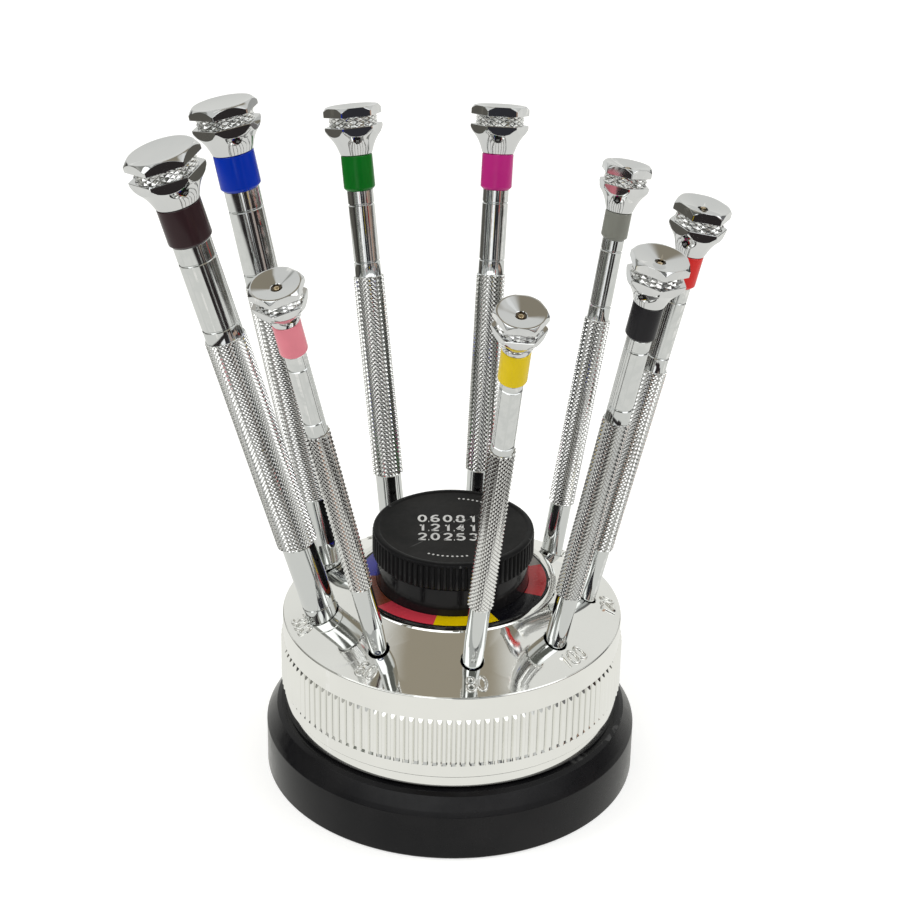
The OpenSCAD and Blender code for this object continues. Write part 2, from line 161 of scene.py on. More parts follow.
class Geo:
    """Vertices in millimetres and faces, gathered ring by ring.

    Each vertex has a cavity value, 1 at the bottom of a groove, which materials can paint darker
    (painted shade on the shell's ribs).
    """

    def __init__(self):
        self.verts, self.cavity, self.count, self.faces = [], [], 0, []

    def points(self, xyz, cavity=0.0):
        """Adds points and returns their indices in the same layout."""
        xyz = np.asarray(xyz, float)
        size = xyz.size // 3
        index = np.arange(self.count, self.count + size).reshape(xyz.shape[:-1])
        self.verts.append(xyz.reshape(-1, 3))
        self.cavity.append(np.broadcast_to(np.asarray(cavity, float), xyz.shape[:-1]).reshape(-1))
        self.count += size
        return index

    def pole(self, z):
        return self.points([[0, 0, z]])[0]

    def ring(self, radius, z, angles, cavity=0.0):
        radius = np.broadcast_to(np.asarray(radius, float), angles.shape)
        z = np.broadcast_to(np.asarray(z, float), angles.shape)
        xyz = np.stack([radius * np.cos(angles), radius * np.sin(angles), z], -1)
        return self.points(xyz, cavity)

    def rings(self, profile, angles):
        """A ring for each (radius, z), or a single pole where the radius is zero."""
        return [self.pole(z) if r < 1e-6 else self.ring(r, z, angles) for r, z in profile]

    def face(self, corners, mat=0):
        corners = np.asarray(corners)
        self.faces.append((corners.reshape(-1, corners.shape[-1]), mat))

    def band(self, a, b, mat=0, wrap=True):
        """Quads between two rings, facing outwards when b is further along the profile."""
        if wrap:
            self.face(np.stack([a, np.roll(a, -1), np.roll(b, -1), b], -1), mat)
        else:
            self.face(np.stack([a[:-1], a[1:], b[1:], b[:-1]], -1), mat)

    def fan(self, pole, ring, top, mat=0):
        following = np.roll(ring, -1)
        centre = np.full_like(ring, pole)
        self.face(np.stack([ring, following, centre] if top else [centre, following, ring], -1),
                  mat)

    def join(self, rings, mats=None, closed=False):
        """Joins rings and poles in turn, with one material index per step if mats is given."""
        steps = list(zip(rings[:-1], rings[1:]))
        if closed:
            steps.append((rings[-1], rings[0]))
        for (a, b), mat in zip(steps, mats or [0] * len(steps)):
            if np.ndim(a) == 0:
                self.fan(a, b, False, mat)
            elif np.ndim(b) == 0:
                self.fan(b, a, True, mat)
            else:
                self.band(a, b, mat)

    def lathe(self, profile, count, mats=None, closed=False):
        self.join(self.rings(profile, circle(count)), mats, closed)

    def widen(self, a, b, mat=0):
        """Ring a of n points below ring b of 2n points."""
        a1, b0, b1, b2 = np.roll(a, -1), b[0::2], b[1::2], np.roll(b[0::2], -1)
        triangles = [(a, a1, b1), (a, b1, b0), (a1, b2, b1)]
        self.face(np.concatenate([np.stack(t, -1) for t in triangles]), mat)

    def narrow(self, a, b, mat=0):
        """Ring a of 2n points below ring b of n points."""
        b1, a0, a1, a2 = np.roll(b, -1), a[0::2], a[1::2], np.roll(a[0::2], -1)
        triangles = [(b, a0, a1), (b, a1, b1), (b1, a1, a2)]
        self.face(np.concatenate([np.stack(t, -1) for t in triangles]), mat)

    def knurl(self, angles, heights, peak_r, depth, mat):
        """Diamond lattice: each peak is a four-sided pyramid. Returns its end rings."""
        odd = (np.arange(len(heights))[:, None] + np.arange(len(angles))[None, :]) % 2
        r = peak_r - depth * odd
        z = np.broadcast_to(np.asarray(heights)[:, None], r.shape)
        grid = self.points(np.stack([r * np.cos(angles), r * np.sin(angles), z], -1), odd)
        a, b = grid[:-1], np.roll(grid[:-1], -1, axis=1)
        c, d = np.roll(grid[1:], -1, axis=1), grid[1:]
        peak = odd[:-1] == 0
        for chosen, triangles in ((peak, [(a, b, d), (b, c, d)]),
                                  (~peak, [(a, b, c), (a, c, d)])):
            for triangle in triangles:
                self.face(np.stack([corner[chosen] for corner in triangle], -1), mat)
        return grid[0], grid[-1]

    def arrays(self):
        return np.concatenate(self.verts), np.concatenate(self.cavity)

    def weld(self, grid=2e-4):
        """Merges points that coincide; quads that lose one corner become triangles."""
        verts, cavity = self.arrays()
        key = np.round(verts / grid).astype(np.int64)
        _, first, merged = np.unique(key, axis=0, return_index=True, return_inverse=True)
        merged = merged.reshape(-1)
        self.verts, self.cavity, self.count = [verts[first]], [cavity[first]], len(first)
        faces = []
        for corners, mat in self.faces:
            corners = merged[corners]
            whole = np.array([len(set(row)) == len(row) for row in corners])
            faces.append((corners[whole], mat))
            triangles = []
            for row in corners[~whole]:
                left = [x for j, x in enumerate(row) if x != row[j - 1]]
                if len(left) == 3 and len(set(left)) == 3:
                    triangles.append(left)
            if triangles:
                faces.append((np.array(triangles), mat))
        self.faces = faces


def soft(points, steps=4):
    """A profile with rounded corners: points are (r, z) or (r, z, fillet radius)."""
    out = []
    for i, point in enumerate(points):
        if len(point) < 3 or i in (0, len(points) - 1):
            out.append((point[0], point[1]))
            continue
        before, corner, after = (np.array(points[k][:2], float) for k in (i - 1, i, i + 1))
        u, v = before - corner, after - corner
        u_len, v_len = np.linalg.norm(u), np.linalg.norm(v)
        u, v = u / u_len, v / v_len
        half = acos(max(-1, min(1, float(u @ v)))) / 2
        reach = min(point[2] / tan(half), 0.48 * u_len, 0.48 * v_len)
        radius = reach * tan(half)
        middle = (u + v) / np.linalg.norm(u + v)
        centre = corner + middle * radius / sin(half)
        start, end = corner + u * reach - centre, corner + v * reach - centre
        angle = atan2(start[1], start[0])
        sweep = (atan2(end[1], end[0]) - angle + pi) % (2 * pi) - pi
        for k in range(steps + 1):
            w = angle + sweep * k / steps
            out.append((centre[0] + radius * cos(w), centre[1] + radius * sin(w)))
    return out


def curve(xs, ys):
    """Smooth interpolation through the points, as a function."""
    h, d = np.diff(xs), np.diff(ys) / np.diff(xs)
    m = np.empty_like(ys)
    m[1:-1] = (d[:-1] * h[1:] + d[1:] * h[:-1]) / (h[:-1] + h[1:])
    m[0], m[-1] = d[0], d[-1]

    def f(x):
        x = np.clip(np.asarray(x, float), xs[0], xs[-1])
        k = np.clip(np.searchsorted(xs, x) - 1, 0, len(xs) - 2)
        t = (x - xs[k]) / h[k]
        return ((2 * t**3 - 3 * t**2 + 1) * ys[k] + (t**3 - 2 * t**2 + t) * h[k] * m[k]
                + (-2 * t**3 + 3 * t**2) * ys[k + 1] + (t**3 - t**2) * h[k] * m[k + 1])
    return f


def piece(name, geo, body, mats, replaces=(), sharp=28, matrix=None, normals=None):
    """Makes the object. normals maps corner points and normals to the normals to use."""
    verts, cavity = geo.arrays()
    faces = [(corners, mat) for corners, mat in geo.faces if len(corners)]
    sizes = np.concatenate([np.full(len(c), c.shape[1]) for c, _ in faces])
    starts = np.concatenate([[0], np.cumsum(sizes)[:-1]])
    loops = np.concatenate([c.reshape(-1) for c, _ in faces]).astype(np.int32)
    slots = np.concatenate([np.full(len(c), mat) for c, mat in faces])
    mesh = bpy.data.meshes.new(name)
    mesh.vertices.add(len(verts))
    mesh.vertices.foreach_set("co", (verts * MM).astype(np.float32).reshape(-1))
    mesh.loops.add(len(loops))
    mesh.loops.foreach_set("vertex_index", loops)
    mesh.polygons.add(len(sizes))
    mesh.polygons.foreach_set("loop_start", starts.astype(np.int32))
    mesh.polygons.foreach_set("material_index", slots.astype(np.int32))
    mesh.update(calc_edges=True)
    attribute = mesh.attributes.new("cav", "FLOAT", "POINT")
    attribute.data.foreach_set("value", cavity.astype(np.float32))
    for mat in mats:
        mesh.materials.append(MATERIALS[mat])
    mesh.shade_smooth()
    mesh.set_sharp_from_angle(angle=radians(sharp))
    if normals:
        found = np.zeros(len(mesh.loops) * 3, np.float32)
        mesh.corner_normals.foreach_get("vector", found)
        wanted = normals(verts[loops], found.reshape(-1, 3))
        mesh.normals_split_custom_set([tuple(normal) for normal in wanted])
    obj = bpy.data.objects.new(name, mesh)
    bpy.context.scene.collection.objects.link(obj)
    if matrix is not None:
        obj.matrix_world = matrix
    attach(obj, body)
    if replaces:
        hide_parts(*replaces)


# --------------------------------------------------------------- materials
def srgb(code):
    channels = [int(code[k:k + 2], 16) / 255 for k in (0, 2, 4)]
    return tuple(c / 12.92 if c <= 0.04045 else ((c + 0.055) / 1.055) ** 2.4 for c in channels)


class Shader:
    """Short hand for building a node tree from sockets and numbers."""

    def __init__(self, tree):
        self.tree = tree

    def fill(self, node, values):
        """Sets or links inputs, given by name or index."""
        for key, value in values.items():
            socket = node.inputs[key]
            if isinstance(value, bpy.types.NodeSocket):
                self.tree.links.new(value, socket)
            elif isinstance(value, tuple):
                missing = len(socket.default_value) - len(value)
                socket.default_value = value + (1.0,) * missing
            else:
                socket.default_value = value

    def add(self, kind, values=None, **props):
        node = self.tree.nodes.new(kind)
        for key, value in props.items():
            setattr(node, key, value)
        self.fill(node, values or {})
        return node

    def math(self, op, a, b=0.0, c=0.0):
        return self.add("ShaderNodeMath", {0: a, 1: b, 2: c}, operation=op).outputs[0]

    def mul(self, a, b):
        return self.math("MULTIPLY", a, b)

    def ramp(self, x, lo, hi, a=0.0, b=1.0):
        """Goes smoothly from a to b as x goes from lo to hi."""
        return self.add("ShaderNodeMapRange", {0: x, 1: lo, 2: hi, 3: a, 4: b},
                        interpolation_type="SMOOTHSTEP", clamp=True).outputs[0]

    def window(self, x, lo, hi, fade):
        """1 between lo and hi, fading to 0 over fade outside."""
        return self.mul(self.ramp(x, lo - fade, lo), self.ramp(x, hi, hi + fade, 1.0, 0.0))

    def mix(self, share, a, b):
        values = {0: share, 6: a, 7: b}
        return self.add("ShaderNodeMix", values, data_type="RGBA").outputs[2]

    def noise(self, vector, scale, detail=3.0, rough=0.55):
        return self.add("ShaderNodeTexNoise", {"Vector": vector, "Scale": scale,
                                               "Detail": detail, "Roughness": rough}).outputs["Fac"]

    def coordinate(self, kind):
        return self.add("ShaderNodeTexCoord").outputs[kind]

    def split(self, vector):
        return self.add("ShaderNodeSeparateXYZ", {0: vector}).outputs

    def azimuth(self, x, y):
        """Degrees round z: 0 towards the camera at -y, positive towards +x."""
        return self.mul(self.math("ARCTAN2", x, self.mul(y, -1.0)), 180 / pi)


def new_material(name):
    mat = bpy.data.materials.new(name)
    mat.use_nodes = True
    return mat, Shader(mat.node_tree), mat.node_tree.nodes["Principled BSDF"]


MATERIALS = {}


def surface(name, colour, rough, grain, bump, bump_scale, tint=None, metallic=0.0, spec=0.5,
            coat=0.0, coat_rough=0.08, wear=None, wear_rough=None, cavity_colour=None, cavity_power=None,
            stretch=(1, 1, 1), wave=0.0, wave_scale=None):
    """A slightly uneven finish.

    Colour drifts to tint, rough is the range of roughness, and grain is the scale of smudges.
    Bump and wave are heights in mm of fine and broad unevenness. Wear shows on convex edges,
    and cavities are painted darker, which on the shell is painted shade.
    """
    mat, t, principled = new_material(name)
    mat.diffuse_color = (*colour, 1)
    place = t.coordinate("Object")
    stretched = t.add("ShaderNodeMapping", {"Vector": place, "Scale": stretch}).outputs[0]
    tint = tint or tuple(c * 0.9 for c in colour)
    base = t.mix(t.ramp(t.noise(place, 90, 4), 0.35, 0.7), colour, tint)
    smudge = t.noise(place, grain * 0.25, 4, 0.6)
    fine = t.noise(stretched, grain * 4, 3, 0.6)
    roughness = t.math("ADD", t.mul(smudge, 0.7), t.mul(fine, 0.3))
    roughness = t.ramp(roughness, 0.35, 0.65, rough[0], rough[1])
    if wear:
        pointed = t.add("ShaderNodeNewGeometry").outputs["Pointiness"]
        edge = t.mul(t.ramp(pointed, 0.53, 0.62), t.ramp(t.noise(place, 700, 3), 0.35, 0.6))
        base = t.mix(edge, base, wear)
        roughness = t.add("ShaderNodeMix", {0: edge, 2: roughness, 3: wear_rough},
                          data_type="FLOAT").outputs[0]
    # cavities painted darker by the cav attribute: painted shade on the shell's ribs, darker valleys
    # on the knurl
    if cavity_colour:
        cavity = t.add("ShaderNodeAttribute", attribute_name="cav").outputs["Fac"]
        base = t.mix(t.math("POWER", cavity, cavity_power), base, cavity_colour)
    t.fill(principled, {"Base Color": base, "Metallic": metallic, "Roughness": roughness,
                        "Specular IOR Level": spec, "Coat Weight": coat,
                        "Coat Roughness": coat_rough})
    height = t.mul(t.noise(stretched, bump_scale, 3), bump)
    if wave:
        height = t.math("ADD", height, t.mul(t.noise(place, wave_scale, 2), wave))
    normal = t.add("ShaderNodeBump", {"Height": height, "Distance": MM, "Strength": 1.0}).outputs[0]
    t.fill(principled, {"Normal": normal})
    if coat:
        t.fill(principled, {"Coat Normal": normal})
    MATERIALS[name] = mat


def metal_surfaces():
    # the shell's dark cavity colour at the feet of the band's ribs is painted shade
    surface("chrome_shell", (0.93, 0.93, 0.905), metallic=1.0, rough=(0.025, 0.075), grain=160,
            bump=0.0003, bump_scale=2500, tint=(0.90, 0.90, 0.875), wear=(0.96, 0.96, 0.95),
            wear_rough=0.16, cavity_colour=(0.30, 0.30, 0.295), cavity_power=9, wave=0.004, wave_scale=90)
    surface("chromed_steel", (0.69, 0.705, 0.70), metallic=1.0, rough=(0.03, 0.10), grain=400,
            bump=0.0004, bump_scale=2500, tint=(0.66, 0.675, 0.68), wear=(0.86, 0.86, 0.86),
            wear_rough=0.18, stretch=(1, 1, 0.15))
    # the knurl's cavity colour paints the bottoms of its valleys darker
    surface("chromed_knurl", (0.93, 0.93, 0.92), metallic=1.0, rough=(0.04, 0.09), grain=500,
            bump=0.0005, bump_scale=4000, tint=(0.86, 0.86, 0.85), cavity_colour=(0.36, 0.355, 0.35),
            cavity_power=5.0)
    surface("chromed_head", (0.73, 0.735, 0.74), metallic=1.0, rough=(0.015, 0.06), grain=350,
            bump=0.0003, bump_scale=2500, tint=(0.69, 0.70, 0.71), wear=(0.92, 0.92, 0.92),
            wear_rough=0.12)
    surface("blade_steel", (0.45, 0.45, 0.46), metallic=1.0, rough=(0.22, 0.38), grain=700,
            bump=0.001, bump_scale=5000, tint=(0.36, 0.36, 0.38), wear=(0.75, 0.75, 0.76),
            wear_rough=0.2, stretch=(1, 1, 0.08))
    surface("plain_steel", (0.50, 0.50, 0.50), metallic=1.0, rough=(0.28, 0.42), grain=300,
            bump=0.002, bump_scale=2500, tint=(0.42, 0.42, 0.42), wear=(0.7, 0.7, 0.7),
            wear_rough=0.2, stretch=(1, 1, 0.3))
    surface("screw_metal", (0.09, 0.065, 0.045), metallic=1.0, rough=(0.25, 0.42), grain=900,
            bump=0.002, bump_scale=5000, tint=(0.07, 0.06, 0.05), wear=(0.5, 0.42, 0.3),
            wear_rough=0.25)
    surface("gilt_pin", (0.62, 0.50, 0.33), metallic=1.0, rough=(0.14, 0.26), grain=900,
            bump=0.001, bump_scale=5000, tint=(0.50, 0.38, 0.24), wear=(0.85, 0.76, 0.58),
            wear_rough=0.2)
    surface("blued_screw", (0.02, 0.035, 0.11), metallic=1.0, rough=(0.10, 0.25), grain=900,
            bump=0.001, bump_scale=5000, tint=(0.01, 0.012, 0.03), wear=(0.35, 0.38, 0.45),
            wear_rough=0.25)


def plastic_surfaces():
    surface("gloss_black", (0.007, 0.007, 0.008), rough=(0.06, 0.14), grain=200, bump=0.0006,
            bump_scale=2000, tint=(0.012, 0.011, 0.012), wear=(0.05, 0.05, 0.05),
            wear_rough=0.4, coat=0.05, spec=0.2)
    surface("foot_black", (0.0045, 0.0045, 0.0055), rough=(0.16, 0.30), grain=220, bump=0.0015,
            bump_scale=1600, tint=(0.009, 0.0085, 0.0095), wear=(0.06, 0.06, 0.06),
            wear_rough=0.5, coat=0.04, coat_rough=0.12, spec=0.17)
    surface("satin_black", (0.0035, 0.0035, 0.004), rough=(0.34, 0.48), grain=300, bump=0.003,
            bump_scale=3500, tint=(0.008, 0.008, 0.009), wear=(0.09, 0.09, 0.09),
            wear_rough=0.5, spec=0.14)
    surface("cap_top", (0.007, 0.007, 0.0075), rough=(0.40, 0.52), grain=300, bump=0.004,
            bump_scale=4000, tint=(0.016, 0.0155, 0.015), wear=(0.08, 0.08, 0.08),
            wear_rough=0.5, spec=0.11)
    surface("print_white", (0.72, 0.72, 0.71), rough=(0.45, 0.6), grain=500, bump=0.002,
            bump_scale=5000, tint=(0.60, 0.60, 0.60))
    surface("pad_rubber", (0.02, 0.02, 0.021), rough=(0.7, 0.85), grain=300, bump=0.01,
            bump_scale=3000, tint=(0.03, 0.03, 0.03))
    surface("washer_plastic", (0.70, 0.68, 0.62), rough=(0.35, 0.5), grain=300, bump=0.003,
            bump_scale=2500)
    surface("liner_foam", (0.62, 0.58, 0.50), rough=(0.8, 0.95), grain=500, bump=0.02,
            bump_scale=4000)


def driver_surfaces(driver):
    colour = srgb(driver.ring_colour)
    surface("ring_" + driver.name, colour, rough=(0.16, 0.26), grain=350, bump=0.0012,
            bump_scale=2500, tint=tuple(c * 0.86 for c in colour),
            wear=tuple(c * 1.3 + 0.05 for c in colour), wear_rough=0.5, spec=0.20)
    surface("disc_" + driver.name, srgb(driver.disc_colour), rough=(0.18, 0.30), grain=250,
            bump=0.0008, bump_scale=2500, coat=0.08, coat_rough=0.1, spec=0.25)


metal_surfaces()
plastic_surfaces()
for driver in DRIVERS:
    driver_surfaces(driver)


# ------------------------------------------------------------ screwdrivers
# groove turned into the barrel: (depth, height from its middle)
GROOVE = [(0, -0.2), (0.05, -0.16), (0.14, -0.06), (0.14, 0.06), (0.05, 0.16), (0, 0.2)]


def nose_profile(d):
    """Profile of the nose from its end to the grip, as for soft()."""
    nose, end, top = d.nose_r, d.end_r, d.nose_h
    bevel = min(0.25, (d.grip_r - nose) * 0.6)
    grip = [(d.grip_r - bevel - 0.03, top - 0.05), (d.grip_r - bevel, top)]
    if d.name == "brown":
        return [(end * 0.8, 0), (nose - 0.35, 0, 0.15), (nose, 0.5, 0.2), (nose, 4.35),
                (nose - 0.12, 4.45), (nose - 0.12, 4.6), (nose, 4.7), (nose, top - 0.4, 0.2)] + grip
    if d.name == "blue":
        return [(end * 0.8, 0), (end - 0.1, 0, 0.1), (end, 0.3, 0.1), (end + 0.05, 3.6),
                (end + 0.3, 3.7), (end + 0.3, 4.3), (end + 0.05, 4.4), (nose, top * 0.5, 1.0),
                (nose, top - 0.3, 0.2)] + grip
    return [(end * 0.8, 0), (end - 0.12, 0, 0.1), (end, 0.2, 0.1),
            (nose, top * TAPER_SHARE, 1.5), (nose, top - 0.2, 0.05)] + grip


def build_shaft(d):
    """Nose with a blind bore, knurled grip, barrel and the stem inside the ring and head."""
    g = Geo()
    across, along = d.knurl_pitch
    angles = circle(4 * round(pi * d.grip_d / across))
    barrel, root = d.barrel_r, d.root_r

    profile = [(0, 9.0), (root, 9.0), (root, 0.05), (root + 0.05, 0)]
    profile += [p for p in soft(nose_profile(d)) if p[0] > root + 0.08]
    lower = g.rings(profile, angles)
    g.join(lower)

    rows = round((d.grip_top - d.nose_h - 0.1) / (along / 2))
    rows += rows % 2
    heights = np.linspace(d.nose_h + 0.08, d.grip_top - 0.08, rows + 1)
    bottom, top = g.knurl(angles[::2], heights, d.grip_r, 0.24, 1)
    g.narrow(lower[-1], bottom, 1)

    bevel = min(0.25, (d.grip_r - barrel) * 0.6)
    profile = [(d.grip_r - bevel, d.grip_top), (barrel + 0.04, d.grip_top + 0.02),
               (barrel, d.grip_top + 0.1)]
    for middle in d.grooves:
        profile += [(barrel - depth, middle + rise) for depth, rise in GROOVE]
    stem_top = d.ring_top + STEM_SHARE * d.head_h
    profile += [(barrel, d.ring_low - 0.08), (barrel - 0.06, d.ring_low), (d.stem_r, d.ring_low),
                (d.stem_r, stem_top), (0, stem_top)]
    upper = g.rings(profile, angles)
    g.widen(top, upper[0], 1)
    g.join(upper)
    piece(d.name + "_shaft", g, d.name + "_driver", ["chromed_steel", "chromed_knurl"],
          (d.name + "_handle",), matrix=d.matrix())


def build_ring(d):
    g = Geo()
    outer, inner, low, top = d.ring_r, d.stem_r + 0.02, d.ring_low, d.ring_top
    profile = [(inner, low + 0.01), (outer - 0.4, low + 0.01, 0.12), (outer, low + 0.4, 0.3),
               (outer, top - 0.1, 0.05), (outer - 0.08, top - 0.01, 0.03), (inner, top - 0.01)]
    g.lathe(soft(profile, 5), 96, closed=True)
    piece(d.name + "_colour_ring", g, d.name + "_driver", ["ring_" + d.name],
          (d.name + "_ring",), matrix=d.matrix())


# flare of the head above the ring: share of the head's height, share of the widening
FLARE_Z = np.array([0, 0.08, 0.16, 0.23, 0.3, 0.38, 0.45, 0.5, 0.54])
FLARE_R = np.array([0, 0.10, 0.20, 0.31, 0.45, 0.65, 0.85, 0.96, 1.0])


def build_head(d):
    """Flared head cut by six flats, with a knurled waist and a hollow top."""
    R, H = d.head_r, d.head_h
    base_r = d.ring_r - 0.02
    waist_r = 0.835 * R

    # angles round the head, and the same with the points beside each corner moved to meet it
    count = 4 * 3 * round(2 * pi * waist_r / 4.5)
    per_flat = count // 6
    flat, step = np.divmod(np.arange(count), per_flat)
    even = -30 + step * 60 / per_flat           # degrees from the middle of the flat
    warped = even.copy()
    warped[step == 1] = -28.7
    warped[step == per_flat - 1] = 28.7
    turn = flat * 60 + d.head_turn
    hexed, plain = np.radians(turn + warped), np.radians(turn + even)
    flat_r = (R + 0.06) * cos(radians(30))
    hex_r = np.minimum(flat_r / np.cos(np.radians(warped)), R)

    # heights at which the flats run out, below on the flare and above on the sloping shoulder
    flare = curve(FLARE_Z * H, base_r + (R - base_r) * FLARE_R)
    z = np.linspace(0, 0.54 * H, 600)
    flat_low = np.interp(hex_r - 1e-4, np.maximum.accumulate(flare(z) + z * 1e-6), z)
    shoulder_r = (0.86 if d.large else 0.90) * R
    drop = (0.82 if d.large else 0.58) * H / 7.9

    def shoulder(r):
        return H - 0.02 - drop * np.clip((r - shoulder_r) / (R - shoulder_r), 0, 1) ** 1.1

    g = Geo()
    rings = []

    def add(r, z, angles=hexed):
        rings.append(g.ring(r, z, angles))
        if len(rings) > 1:
            g.band(rings[-2], rings[-1])

    socket_r = d.stem_r + 0.05
    add(socket_r, 0.0, plain)
    add(base_r - 0.08, 0.0)
    add(base_r - 0.01, 0.06)
    for share in np.arange(18) / 17:
        z = 0.1 + (flat_low - 0.03 - 0.1) * share
        add(flare(z), z)

    waist_low, waist_top = 0.6 * H, 0.805 * H
    inner_r = waist_r - 0.16
    add(hex_r, flat_low + 0.03)
    add(hex_r, waist_low - 0.06)
    add(hex_r - 0.06, waist_low)
    add(inner_r + 0.1, waist_low, plain)
    add(inner_r, waist_low + 0.04, plain)
    heights = np.linspace(waist_low + 0.1, waist_top - 0.1, 5)
    bottom, top = g.knurl(plain[::2], heights, waist_r, 0.26, 1)
    g.narrow(rings[-1], bottom, 1)
    rings.append(g.ring(inner_r, waist_top - 0.04, plain))
    g.widen(top, rings[-1], 1)
    add(inner_r + 0.1, waist_top, plain)
    add(hex_r - 0.06, waist_top)
    add(hex_r, waist_top + 0.06)

    # sloping shoulder, easing from the six-sided outline to a circle
    add(hex_r, np.maximum(shoulder(hex_r) - 0.03, waist_top + 0.07))
    top_r = np.minimum(shoulder_r, hex_r - 0.05)
    for share in np.arange(11) / 10:
        r = top_r + (hex_r - 0.015 - top_r) * (1 - share)
        add(r, shoulder(r), np.radians(turn + warped * (1 - share) + even * share))
    rim = 0.83 * R
    add(rim + 0.04, H, plain)
    add(rim - 0.04, H - 0.02, plain)
    if d.large:
        # a shallow closed dish over a closed cavity
        for share, depth in ((0.6, 0.10), (0.4, 0.15), (0.2, 0.18)):
            add(share * R, H - 0.035 - depth, plain)
        g.fan(g.pole(H - 0.035 - 0.19), rings[-1], True)
        rings.append(g.ring(0.5, H - 1.2, plain))
        g.fan(g.pole(H - 1.2), rings[-1], False)
    else:
        # a dish with a hole for the screw in its middle
        for share in (0.6, 0.4):
            fall = 0.66 * (rim - 0.04 - share * R) / (rim - 0.04 - 0.85)
            add(share * R, H - 0.02 - fall, plain)
        add(0.88, H - 0.66, plain)
        add(0.80, H - 0.72, plain)
        add(0.78, SCREW_SHARE * H, plain)
        add(0.5, SCREW_SHARE * H, plain)
    add(0.5, STEM_SHARE * H, plain)
    add(socket_r, STEM_SHARE * H, plain)
    g.band(rings[-1], rings[0])
    piece(d.name + "_swivel_head", g, d.name + "_swivel", ["chromed_head", "chromed_knurl"],
          (d.name + "_head",), sharp=12,
          matrix=d.matrix() @ Matrix.Translation((0, 0, (d.ring_top + 0.05) * MM)))


def build_screws(d):
    """Gilt pin on a screw collar in the head, and a grub screw in the side of the nose."""
    g = Geo()
    base = SCREW_SHARE * d.head_h + d.ring_top + 0.1
    dome = soft([(0, base), (0.74, base), (0.74, base + 0.12), (0.44, base + 0.14),
                 (0.44, base + 0.55, 0.2), (0, base + 0.62)], 6)
    g.lathe(dome, 48, mats=[0 if r > 0.45 or z < base + 0.15 else 1 for r, z in dome[1:]])

    grub = Geo()
    r = 0.49
    grub.lathe([(0, 0.0), (r, 0.0), (r, 0.05), (r * 0.85, 0.10), (r * 0.5, 0.10),
                (r * 0.42, -0.1), (0, -0.12)], 32)
    verts, _ = grub.arrays()
    # lay the screw's axis along +x, 1 mm above the nose's end
    first = g.count
    g.points(np.stack([d.nose_radius(0.75) + verts[:, 2] - 0.05, verts[:, 0],
                       1.0 + verts[:, 1]], -1))
    for corners, _ in grub.faces:
        g.face(corners + first, 2)
    piece(d.name + "_small_screws", g, d.name + "_driver",
          ["screw_metal", "gilt_pin", "blued_screw"], (d.name + "_screws",),
          matrix=d.matrix())


for driver in DRIVERS:
    build_shaft(driver)
    build_ring(driver)
    build_head(driver)
    build_screws(driver)


# --------------------------------------------------------- turntable shell
def on_cone(r, angle, lift=0.0, cone=TOP_CONE):
    """Points on a cone, lifted along its normal."""
    out = r + lift * CONE_OUT
    return np.stack([out * np.cos(angle), out * np.sin(angle),
                     cone_z(r, cone) + lift * CONE_UP], -1)


# one rib of the shell's band: (share of the rib pitch, share of the rib height)
RIB_FOOT = 0.03
RIB = [(0.0, 0.0), (0.20, RIB_FOOT), (0.25, 0.42), (0.36, 0.84), (0.5, 1.0), (0.64, 0.84),
       (0.75, 0.42), (0.80, RIB_FOOT)]
RIBS_PER_SECTOR = 13
SECTOR_COLUMNS = RIBS_PER_SECTOR * len(RIB)
RIBS = RIBS_PER_SECTOR * len(DRIVERS)
# angle and rib height of each column of the shell's vertices
COLUMNS = np.radians(FIRST_EDGE + 360 * np.array([(k + f) / RIBS for k in range(RIBS)
                                                  for f, _ in RIB]))
COLUMN_H = np.array([h for _, h in RIB] * RIBS)


def bore_edge(driver, cone):
    """Where a driver's tilted bore meets a cone, in the unrolled plate.

    Returns the outline's centre as radius and angle, its points as direction and distance
    from that centre, and the bore's axis.
    """
    matrix = driver.matrix()
    start = np.array(matrix @ Vector((0, 0, driver.tip_below * MM))) / MM
    x_axis, y_axis, axis = np.array(matrix.to_3x3()).T
    t = np.linspace(0, 2 * pi, 720, endpoint=False)[:, None]
    circle_points = start + driver.bore_r * (np.cos(t) * x_axis + np.sin(t) * y_axis)
    slide = np.zeros(len(t))
    for _ in range(30):
        points = circle_points + slide[:, None] * axis
        error = cone_z(np.hypot(points[:, 0], points[:, 1]), cone) - points[:, 2]
        slide += error / (axis[2] + SLOPE * hypot(axis[0], axis[1]))
    points = circle_points + slide[:, None] * axis
    r = np.hypot(points[:, 0], points[:, 1])
    angle = np.unwrap(np.arctan2(points[:, 1], points[:, 0]))
    centre_r, middle = (r.max() + r.min()) / 2, (angle.max() + angle.min()) / 2
    station = radians(driver.station)
    centre_angle = station + (middle - station + pi) % (2 * pi) - pi
    u, v = r - centre_r, (angle - middle) * centre_r
    return centre_r, centre_angle, np.arctan2(v, u), np.hypot(u, v), axis


